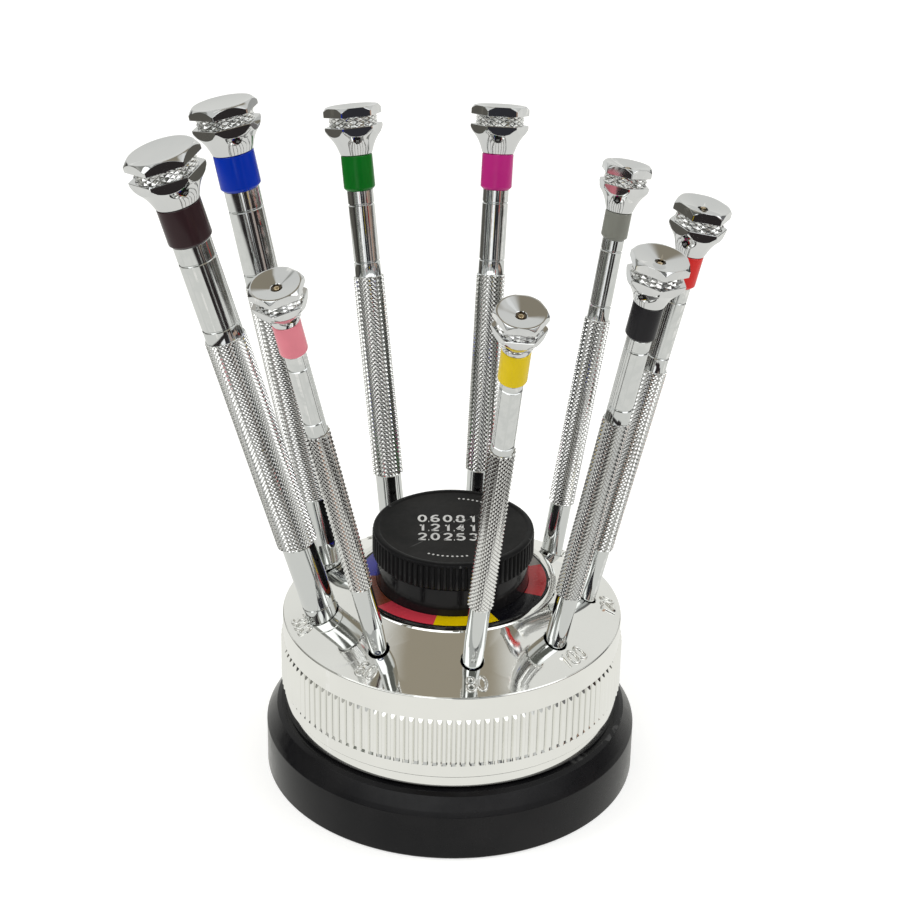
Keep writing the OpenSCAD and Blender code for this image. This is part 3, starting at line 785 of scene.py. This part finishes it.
def plate_sector(g, index, outer_r, inner_r, cone, top):
    """One ninth of the plate's top or underside, round its hole.

    Returns the ring round the hole, the points of the bore's own edge and the bore's axis.
    """
    first = SECTOR_COLUMNS * index
    last_angle = radians(FIRST_EDGE + PITCH * (index + 1))
    angles = np.append(COLUMNS[first:first + SECTOR_COLUMNS], last_angle)
    radii = np.linspace(outer_r, inner_r, 15)
    border = [(outer_r, angle) for angle in angles]
    border += [(r, angles[-1]) for r in radii[1:]]
    border += [(inner_r, angle) for angle in angles[::-1][1:]]
    border += [(r, angles[0]) for r in radii[::-1][1:-1]]
    border_r, border_angle = np.array(border).T

    hole_r, hole_angle, directions, distances, axis = bore_edge(DRIVERS[index], cone)
    u, v = border_r - hole_r, (border_angle - hole_angle) * hole_r
    direction = np.arctan2(v, u)
    bore = np.interp(direction, directions, distances, period=2 * pi)

    def around_hole(distance):
        return on_cone(hole_r + distance * np.cos(direction),
                       hole_angle + distance * np.sin(direction) / hole_r, cone=cone)

    bevel = 0.10 if top else 0.0
    rings = [g.points(around_hole((bore + bevel) * (1 - share) + np.hypot(u, v) * share))
             for share in (0.0, 0.06, 0.16, 0.32, 0.52, 0.75)]
    rings.append(g.points(on_cone(border_r, border_angle, cone=cone)))
    for a, b in zip(rings[:-1], rings[1:]):
        if top:
            g.band(a, b, 1)
        else:
            g.band(b, a, 0)
    return rings[0], around_hole(bore), axis


def cone_normals(points, normals):
    """Gives corners on the plate's top the cone's exact normal."""
    r = np.hypot(points[:, 0], points[:, 1])
    exact = np.stack([points[:, 0] / r * CONE_OUT, points[:, 1] / r * CONE_OUT,
                      np.full(len(points), CONE_UP)], -1)
    on_top = ((np.abs(points[:, 2] - cone_z(r)) < 1e-3) & ((normals * exact).sum(1) > 0.985))
    out = normals.copy()
    out[on_top] = exact[on_top]
    return out


def build_shell():
    g = Geo()
    skirt = soft([(WALL_R, 11.17), (26.6, 11.17, 0.1), (27.0, 11.55, 0.15), (27.0, 13.28, 0.04),
                  (BAND_R, 13.42, 0.06), (BAND_R, 15.3)], 3)
    rings = g.rings(skirt, COLUMNS)

    # ribbed band: ribs stand out of it and the gaps between them are cut in
    rib_out, gap_in = 0.34, 0.22
    offset = -gap_in + (rib_out + gap_in) * COLUMN_H
    out, inward = np.maximum(offset, 0) / rib_out, np.maximum(-offset, 0) / gap_in
    # painted shade: the columns at the ribs' feet get a cavity value of 1, which chrome_shell paints
    # dark
    rib_foot_shade = (COLUMN_H == RIB_FOOT).astype(float)
    rings.append(g.ring(BAND_R, 15.38, COLUMNS))
    for z in (15.40 + 0.10 * out + 0.42 * inward, 19.5, 23.68 - 0.55 * out - 0.12 * inward):
        rings.append(g.ring(BAND_R + offset, z, COLUMNS, rib_foot_shade))
    rings += g.rings([(BAND_R, 23.70), (BAND_R, 23.78)], COLUMNS)

    # fillet to the plate, closed exactly onto the cone
    fillet = soft([(BAND_R, 24.0), (BAND_R, 27.55, 0.38), (PLATE_R, PLATE_Z)], 7)[1:-1]
    edge_r = fillet[-1][0] - 0.02
    rings += g.rings(fillet + [(edge_r, cone_z(edge_r))], COLUMNS)
    g.join(rings)

    # lip round the colour disc, the recess inside it and the hole for the canister
    under_r = 18.04
    lip = soft([(FLANGE_R, FLANGE_Z), (16.6, 33.2, 0.12), (15.65, 33.25, 0.12),
                (15.4, 33.02, 0.08), (15.4, DISC_SEAT_Z), (12.2, DISC_SEAT_Z), (12.2, 30.9),
                (under_r, 30.9)], 3)
    g.join(g.rings(lip, COLUMNS))
    g.band(g.ring(WALL_R, UNDER_Z, COLUMNS), rings[0])

    for index in range(len(DRIVERS)):
        top, edge, axis = plate_sector(g, index, edge_r, FLANGE_R, TOP_CONE, True)
        under, _, _ = plate_sector(g, index, WALL_R, under_r, UNDER_CONE, False)
        wall = g.points(edge - 0.10 * axis)
        g.band(wall, top, 0)
        g.band(under, wall, 0)
    g.weld()
    piece("chromed_shell", g, "turntable", ["chrome_shell", "chrome_shell"],
          ("turntable_shell",), normals=cone_normals, sharp=26)


# ---------------------------------------------------------------- numerals
def arc(cx, cy, rx, ry, start, end, count):
    t = np.radians(np.linspace(start, end, count))
    return [(cx + rx * cos(angle), cy + ry * sin(angle)) for angle in t]


def loop(cx, cy, rx, ry, count=26):
    return arc(cx, cy, rx, ry, 90, 90 + 360 * (count - 1) / count, count)


# strokes of each character as (closed, points); a digit is about 1.6 high and stands on y = 0
GLYPH_H = 1.6
GLYPHS = {
    "0": [(True, loop(0, 0.8, 0.40, 0.72))],
    "1": [(False, [(-0.26, 1.22), (-0.05, 1.36), (0.08, 1.56), (0.08, 0.8), (0.08, 0.02)])],
    "2": [(False, arc(0, 1.14, 0.40, 0.40, 165, -25, 12)
           + [(0.1, 0.62), (-0.2, 0.28), (-0.38, 0.08)]),
          (False, [(-0.42, 0.08), (0.0, 0.08), (0.42, 0.08)])],
    "3": [(False, arc(-0.03, 1.18, 0.38, 0.36, 150, -88, 12)),
          (False, arc(-0.03, 0.44, 0.42, 0.38, 88, -150, 13))],
    "4": [(False, [(0.2, 0.02), (0.2, 0.8), (0.2, 1.52)]),
          (False, [(0.2, 1.52), (-0.1, 1.0), (-0.42, 0.48)]),
          (False, [(-0.42, 0.46), (0.0, 0.46), (0.44, 0.46)])],
    "5": [(False, [(0.36, 1.5), (0.0, 1.5), (-0.3, 1.5)]),
          (False, [(-0.3, 1.5), (-0.33, 1.2), (-0.36, 0.86)]),
          (False, arc(-0.03, 0.5, 0.43, 0.44, 140, -150, 14))],
    "6": [(False, arc(0.1, 0.82, 0.50, 0.72, 62, 180, 10)), (True, loop(0, 0.46, 0.40, 0.40))],
    "8": [(True, loop(0, 1.17, 0.34, 0.35)), (True, loop(0, 0.45, 0.41, 0.39))],
    ".": [(False, [(-0.05, 0.05), (0.0, 0.05), (0.05, 0.05)])],
}
# sections of a stroke: (share of half the width, height in mm)
RAISED = [(1, -0.10), (1, 0.10), (0.80, 0.19), (0.4, 0.25), (-0.4, 0.25), (-0.80, 0.19),
          (-1, 0.10), (-1, -0.10)]
PRINTED = [(1, -0.02), (1, 0.012), (-1, 0.012), (-1, -0.02)]


def stroke(g, points, closed, width, section, where):
    """Sweeps section along the points; where maps x, y and height to space."""
    path = np.array(points, float)
    if closed:
        along = np.roll(path, -1, 0) - np.roll(path, 1, 0)
    else:
        along = np.gradient(path, axis=0)
    along /= np.linalg.norm(along, axis=1)[:, None]
    across = np.stack([-along[:, 1], along[:, 0]], -1)
    rows = []
    for share, height in section:
        line = path + across * (share * width / 2)
        rows.append(g.points(where(line[:, 0], line[:, 1], height)))
    for a, b in zip(rows, rows[1:] + rows[:1]):
        g.band(a, b, wrap=closed)
    if not closed:
        grid = np.stack(rows, 0)
        g.face(grid[:, 0][None, :])
        g.face(grid[::-1, -1][None, :])


def build_plate_numbers():
    """Blade sizes in hundredths, raised on the plate outside each driver."""
    g = Geo()
    scale = 2.55 / GLYPH_H
    advance, width = 1.72, 0.56
    text_r = 25.0               # radius at which the spacing is true
    for driver in DRIVERS:
        text = f"{driver.blade * 100:.0f}"
        for k, char in enumerate(text):
            centre = advance * (k - (len(text) - 1) / 2)

            def where(x, y, height):
                r = PLATE_R - 0.75 - y * scale * CONE_UP
                angle = radians(driver.station) + (centre + x * scale) / text_r
                return on_cone(r, angle, height)
            for closed, points in GLYPHS[char]:
                stroke(g, points, closed, width / scale, RAISED, where)
    piece("plate_numbers", g, "turntable", ["chrome_shell"], sharp=40)


# --------------------------------------------- disc, canister, cap and foot
def build_colour_disc():
    g = Geo()
    count = 360
    angles = circle(count)
    profile = [(12.15, 32.56), (15.22, 32.56), (15.3, 32.64), (15.3, 33.03), (15.24, 33.08),
               (15.02, 33.09), (15.0, 33.10), (12.2, 33.10), (12.15, 33.06)]
    rings = g.rings(profile, angles)
    sector = ((np.degrees(angles + pi / count) - FIRST_EDGE) % 360) // PITCH
    for k, (a, b) in enumerate(zip(rings, rings[1:] + rings[:1])):
        if k in (6, 7):         # the top face and its inner bevel carry the colours
            quads = np.stack([a, np.roll(a, -1), np.roll(b, -1), b], -1)
            for index in range(len(DRIVERS)):
                g.face(quads[sector == index], index)
        else:
            g.band(a, b, 2)     # black
    piece("printed_colour_disc", g, "turntable", ["disc_" + d.name for d in DRIVERS],
          ("colour_disc",))


def build_canister():
    """Hollow drum with a flange under the colour disc and a grooved neck under the cap."""
    g = Geo()
    profile = [(0, 16.9), (11.6, 16.9), (11.6, DISC_SEAT_Z), (15.2, DISC_SEAT_Z), (15.2, 32.54),
               (DRUM_R, 32.54, 0.1), (DRUM_R, 37.55, 0.15), (DRUM_R - 0.2, 37.7, 0.05),
               (NECK_R, 37.7, 0.1)]
    for z in (38.3, 39.5):
        profile += [(NECK_R, z), (NECK_R - 0.35, z + 0.3), (NECK_R, z + 0.7)]
    profile += [(NECK_R, NECK_Z - 0.2), (NECK_R - 0.2, NECK_Z, 0.05), (9.5, NECK_Z, 0.05),
                (9.4, NECK_Z - 0.1), (9.4, 18.4), (0, 18.4)]
    g.lathe(soft(profile, 4), 216)
    piece("canister_drum", g, "turntable", ["gloss_black"], ("canister",))


# one rib of the cap: (share of the rib pitch, share of the rib height)
CAP_RIBS = 84
CAP_RIB = [(0.0, 0.0), (0.14, 0.0), (0.24, 0.62), (0.36, 0.93), (0.5, 1.0), (0.64, 0.93),
           (0.76, 0.62), (0.86, 0.0)]


def build_cap():
    g = Geo()
    angles = np.array([k + f for k in range(CAP_RIBS) for f, _ in CAP_RIB]) / CAP_RIBS * 2 * pi
    height = np.array([h for _, h in CAP_RIB] * CAP_RIBS)
    groove = 1 - height
    rib_depth = 0.30
    ribbed = CAP_R - rib_depth * groove
    bore_r, bore_top = 10.85, NECK_Z + 0.5
    # (radius, z, cavity) from the bore down, round the rim and up to the raised edge
    side = [(bore_r, bore_top, 0), (bore_r, RIM_Z + 0.1, 0), (bore_r + 0.1, RIM_Z, 0),
            (CAP_R - 0.42, RIM_Z, 0), (CAP_R - 0.30 + 0.18 * height, RIM_Z + 0.06, 0),
            (ribbed, RIM_Z + 0.25, groove), (ribbed, 40.0, groove),
            (ribbed, CAP_Z - 0.78, groove),
            (CAP_R - rib_depth * groove * 0.7 - 0.02, CAP_Z - 0.62, 0),
            (CAP_R - 0.10, CAP_Z - 0.50, 0)]
    for angle in (20, 45, 70, 90):
        side.append((CAP_R - 0.5 + 0.42 * cos(radians(angle)),
                     CAP_Z - 0.42 + 0.42 * sin(radians(angle)), 0))
    side += [(CAP_R - 0.85, CAP_Z, 0), (CAP_R - 0.95, CAP_Z - 0.03, 0),
             (CAP_R - 1.15, CAP_Z - 0.14, 0)]
    face = [(CAP_R - 1.25, CAP_FACE_Z, 0), (8.0, CAP_FACE_Z, 0), (3.0, CAP_FACE_Z, 0)]
    rings = [g.ring(r, z, angles, cavity) for r, z, cavity in side + face]
    g.join(rings, mats=[0] * (len(side) - 1) + [1] * len(face))
    g.fan(g.pole(CAP_FACE_Z), rings[-1], True, 1)
    g.fan(g.pole(bore_top), rings[0], False, 0)
    piece("ribbed_cap", g, "cap", ["satin_black", "cap_top"], ("screw_cap",),
          sharp=30)


def build_cap_print():
    """The blade sizes in three rows, and two arcs of dots."""
    g = Geo()
    scale = 2.2 / GLYPH_H
    advance = 1.36
    shares = {".": 0.5, " ": 0.45}      # narrower characters' share of the advance

    def on_face(x, y, height):
        return np.stack([x, y, np.full_like(x, CAP_FACE_Z + height)], -1)

    for row in range(3):
        x, y = -5.6, 1.6 - 3 * row
        for char in " ".join(f"{d.blade:.1f}" for d in DRIVERS[3 * row:3 * row + 3]):
            step = advance * shares.get(char, 1)
            for closed, points in GLYPHS.get(char, []):
                placed = [(x + step / 2 + px * scale, y + py * scale) for px, py in points]
                stroke(g, placed, closed, 0.40, PRINTED, on_face)
            x += step
    dots_r, dot_r = 9.6, 0.1
    for start, end in ((48, 84), (246, 282)):
        for angle in np.radians(np.linspace(start, end, 9)):
            dot = loop(dots_r * cos(angle), dots_r * sin(angle), dot_r, dot_r, 10)
            stroke(g, dot, True, 0.19, PRINTED, on_face)
    piece("cap_print", g, "cap", ["print_white"])


def build_foot_ring():
    g = Geo()
    profile = [(27.2, 0), (29.65, 0, 0.1), (30.0, 0.35, 0.25), (30.0, 7.75, 0.35),
               (29.55, 8.55, 0.5), (28.3, 10.62, 0.25), (27.6, 11.0, 0.15), (3.4, 11.0),
               (3.4, 9.2), (27.2, 9.2)]
    g.lathe(soft(profile, 5), 288, closed=True)
    piece("black_foot_ring", g, "base", ["foot_black"], ("foot_ring",))


build_shell()
build_plate_numbers()
build_colour_disc()
build_canister()
build_cap()
build_cap_print()
build_foot_ring()

# ----------------------------------- finishes on the CAD pieces still shown
FINISHES = {
    "plain_steel": ["ballast_plate", "spindle", "retaining_clip", "canister_screws"],
    "pad_rubber": ["base_pad"],
    "washer_plastic": ["thrust_washer"],
    "satin_black": ["carrier_block", "blade_rack"],
    "blade_steel": ["spare_blades"] + [d.name + "_blade" for d in DRIVERS],
    "liner_foam": ["cap_liner"],
}
for finish, nodes in FINISHES.items():
    for node in nodes:
        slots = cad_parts[node].data.materials
        slots.clear()
        slots.append(MATERIALS[finish])


# ------------------------------------------------------------------- floor
def floor_reflection(t, place):
    """What the metal sees of the table: pale paper near by, a dark room past its edge."""
    x, y, _ = t.split(place)
    distance = t.math("SQRT", t.math("ADD", t.mul(x, x), t.mul(y, y)))
    azimuth = t.azimuth(x, y)
    side = t.math("ABSOLUTE", azimuth)
    paper = t.mix(t.noise(place, 25, 3), (0.80, 0.80, 0.765), (0.84, 0.84, 0.80))
    room = t.mix(t.ramp(side, 60, 100), (0.030, 0.026, 0.026), (0.115, 0.11, 0.095))
    # pale stripes in the room: from and to azimuth, colour
    for start, end, colour in ((-60, -48, (0.17, 0.18, 0.15)), (-33, -25, (0.42, 0.42, 0.38)),
                               (-22, 2, (1.15, 1.16, 1.15)), (34, 46, (0.46, 0.38, 0.34))):
        share = t.mul(t.window(azimuth, start, end, fade=2), t.ramp(distance, 0.38, 0.5))
        room = t.mix(share, room, colour)
    room = t.mix(t.ramp(side, 138, 158), room, (0.74, 0.75, 0.73))
    # the paper's edge in metres: uneven, further out on the right, nearer on the front right
    edge = t.math("ADD", 0.205, t.mul(t.noise(place, 6, 2), 0.04))
    edge = t.math("ADD", edge, t.ramp(azimuth, 48, 66, 0.0, 0.35))
    edge = t.math("SUBTRACT", edge, t.mul(t.window(azimuth, 8, 34, fade=4), 0.045))
    return t.mix(t.ramp(t.math("SUBTRACT", distance, edge), 0.0, 0.03), paper, room)


def floor_material():
    mat, t, principled = new_material("floor_paper")
    place = t.coordinate("Object")
    t.fill(principled, {
        "Base Color": t.mix(t.noise(place, 30, 3), (0.62, 0.62, 0.615), (0.60, 0.60, 0.595)),
        "Roughness": t.ramp(t.noise(place, 400, 3), 0.3, 0.7, 0.75, 0.9),
        "Specular IOR Level": 0.15,
        "Emission Color": (1.0, 1.0, 0.995),
        "Emission Strength": 0.62,
    })
    glow = t.add("ShaderNodeEmission", {"Color": floor_reflection(t, place)}).outputs[0]
    glossy = t.add("ShaderNodeLightPath").outputs["Is Glossy Ray"]
    mixed = t.add("ShaderNodeMixShader", {0: glossy, 1: principled.outputs[0], 2: glow})
    t.fill(mat.node_tree.nodes["Material Output"], {"Surface": mixed.outputs[0]})
    return mat


def build_floor():
    half, cells = 3.0, 24       # metres from the middle to the edge, squares per side
    side = cells + 1
    steps = np.linspace(-half, half, side)
    verts = [(x, y, 0) for y in steps for x in steps]
    corners = [j * side + i for j in range(cells) for i in range(cells)]
    mesh = bpy.data.meshes.new("floor")
    mesh.from_pydata(verts, [], [(k, k + 1, k + side + 1, k + side) for k in corners])
    floor = bpy.data.objects.new("floor", mesh)
    bpy.context.scene.collection.objects.link(floor)
    mesh.materials.append(floor_material())


build_floor()

# ------------------------------------------------------------ surroundings
# Soft-edged panels, later ones over earlier ones:
# from and to azimuth, from and to elevation, colour, fade in azimuth, fade in elevation
WALL_PANELS = [
    (-121, -62, 2, 27, (0.44, 0.44, 0.41), 5, 4),
    (-121, -62, 29, 48, (0.30, 0.305, 0.28), 5, 4),
    (-116, -96, 4, 20, (0.22, 0.22, 0.20), 6, 4),
    (70, 118, 6, 24, (0.18, 0.18, 0.18), 6, 4),
    (78, 112, -6, 8, (0.045, 0.032, 0.028), 6, 4),
    (-60, 60, 6, 60, (0.22, 0.225, 0.22), 8, 5),
    (-95, 48, 44, 62, (0.14, 0.145, 0.13), 8, 4),
]
BRIGHT_PANELS = [
    (-80, -1, 24, 40, (1.7, 1.72, 1.70), 2, 2),
    (-29, -13, 36, 52, (1.7, 1.72, 1.70), 2, 3),
    (-104, -62, 46, 66, (0.72, 0.73, 0.71), 6, 5),
    (52, 112, 48, 66, (0.90, 0.91, 0.89), 5, 4),
    (38, 80, 22, 46, (1.6, 1.62, 1.62), 3, 2),
    (-60, 60, 12, 22, (0.55, 0.56, 0.55), 6, 2),
    (-1, 38, 24, 31, (1.6, 1.62, 1.60), 2, 2),
    (-62, -28, 2, 12, (0.15, 0.17, 0.15), 4, 3),
]
# broad upright shapes in a dark room, seen round the horizon by the bright barrels
HORIZON_PANELS = [
    (-180, 180, -40, 3, (0.05, 0.05, 0.05), 5, 3),
    (-62, 60, -40, 4, (0.022, 0.018, 0.018), 5, 3),
    (-62, -50, -18, 12, (0.16, 0.17, 0.145), 3, 3),
    (-34, -26, -18, 12, (0.42, 0.42, 0.38), 3, 3),
    (-22, 0, -18, 7, (1.25, 1.26, 1.25), 2, 3),
    (33, 46, -18, 8, (0.50, 0.40, 0.36), 2, 3),
    (56, 62, -18, 8, (0.25, 0.23, 0.22), 2, 3),
    (64, 88, -3, 5, (0.50, 0.34, 0.26), 4, 2),
    (2, 33, -6, 16, (0.035, 0.035, 0.042), 2, 2),
    (-48, -36, -8, 8, (0.035, 0.035, 0.042), 2, 2),
]


def build_world():
    world = bpy.data.worlds.new("studio")
    bpy.context.scene.world = world
    world.use_nodes = True
    t = Shader(world.node_tree)
    direction = t.coordinate("Generated")
    x, y, z = t.split(direction)
    azimuth = t.azimuth(x, y)
    side = t.math("ABSOLUTE", azimuth)
    # elevation in degrees, made a little uneven so that level edges waver
    waver = t.mul(t.math("SUBTRACT", t.noise(direction, 3.0, 3), 0.5), 10.0)
    elevation = t.math("ADD", t.mul(t.math("ARCSINE", z), 180 / pi), t.mul(waver, 0.4))

    def with_panels(colour, panels):
        for left, right, low, high, paint, side_fade, level_fade in panels:
            share = t.mul(t.window(azimuth, left, right, side_fade),
                          t.window(elevation, low, high, level_fade))
            colour = t.mix(share, colour, paint)
        return colour

    colour = with_panels((0.74, 0.745, 0.72), WALL_PANELS)
    # dim ceiling, whose edge is highest at the sides and lowest at the back
    ceiling = t.math("ADD", t.ramp(side, 40, 80, 60.0, 70.0), t.ramp(side, 108, 138, 0.0, -27.0))
    above = t.ramp(t.math("SUBTRACT", elevation, ceiling), 0.0, 11.0)
    colour = t.mix(above, colour, (0.295, 0.265, 0.205))
    colour = with_panels(colour, BRIGHT_PANELS + HORIZON_PANELS)
    back_wall = t.mul(t.ramp(side, 140, 156), t.ramp(elevation, 39, 48, 1.0, 0.0))
    colour = t.mix(back_wall, colour, (0.76, 0.765, 0.735))
    # the camera itself sees an even pale backdrop
    to_camera = t.add("ShaderNodeLightPath").outputs["Is Camera Ray"]
    colour = t.mix(to_camera, colour, (0.965, 0.965, 0.96))
    t.fill(world.node_tree.nodes["Background"], {"Color": colour, "Strength": 1.0})


def softbox(name, location, size, power, colour):
    """Square area light aimed at the stand; location and size in metres, power in watts."""
    light = bpy.data.lights.new(name, "AREA")
    light.shape = "RECTANGLE"
    light.size = light.size_y = size
    light.energy = power
    light.color = colour
    obj = bpy.data.objects.new(name, light)
    obj.location = location
    obj.rotation_mode = "QUATERNION"
    aim = Vector((0, 0, 0.05)) - Vector(location)
    obj.rotation_quaternion = aim.to_track_quat("-Z", "Y")
    obj.visible_camera = False
    obj.visible_glossy = False
    bpy.context.scene.collection.objects.link(obj)


def build_camera():
    data = bpy.data.cameras.new("camera")
    camera = bpy.data.objects.new("camera", data)
    bpy.context.scene.collection.objects.link(camera)
    position = Vector((-6.21115, -325.63338, 218.78707)) * MM
    right = Vector((0.99983801, -0.00894605, 0.0156182))
    up = Vector((-0.00996479, 0.4474826, 0.89423712))
    forward = Vector((0.01498877, 0.89424789, -0.44732097))
    turn = Matrix((right, up, -forward)).transposed().to_4x4()
    camera.matrix_world = Matrix.Translation(position) @ turn
    data.sensor_width = 36.0
    data.lens = 93.6984
    data.clip_start, data.clip_end = 0.01, 20
    bpy.context.scene.camera = camera


build_world()
softbox("key_left", location=(-0.55, -0.10, 0.55), size=0.35, power=1.6, colour=(1.0, 0.99, 0.97))
softbox("key_right", location=(0.60, 0.05, 0.50), size=0.30, power=1.2, colour=(0.98, 0.99, 1.0))
build_camera()
view = bpy.context.scene.view_settings
view.view_transform = "Standard"
view.look = "None"
view.exposure = 0.0
view.gamma = 1.0
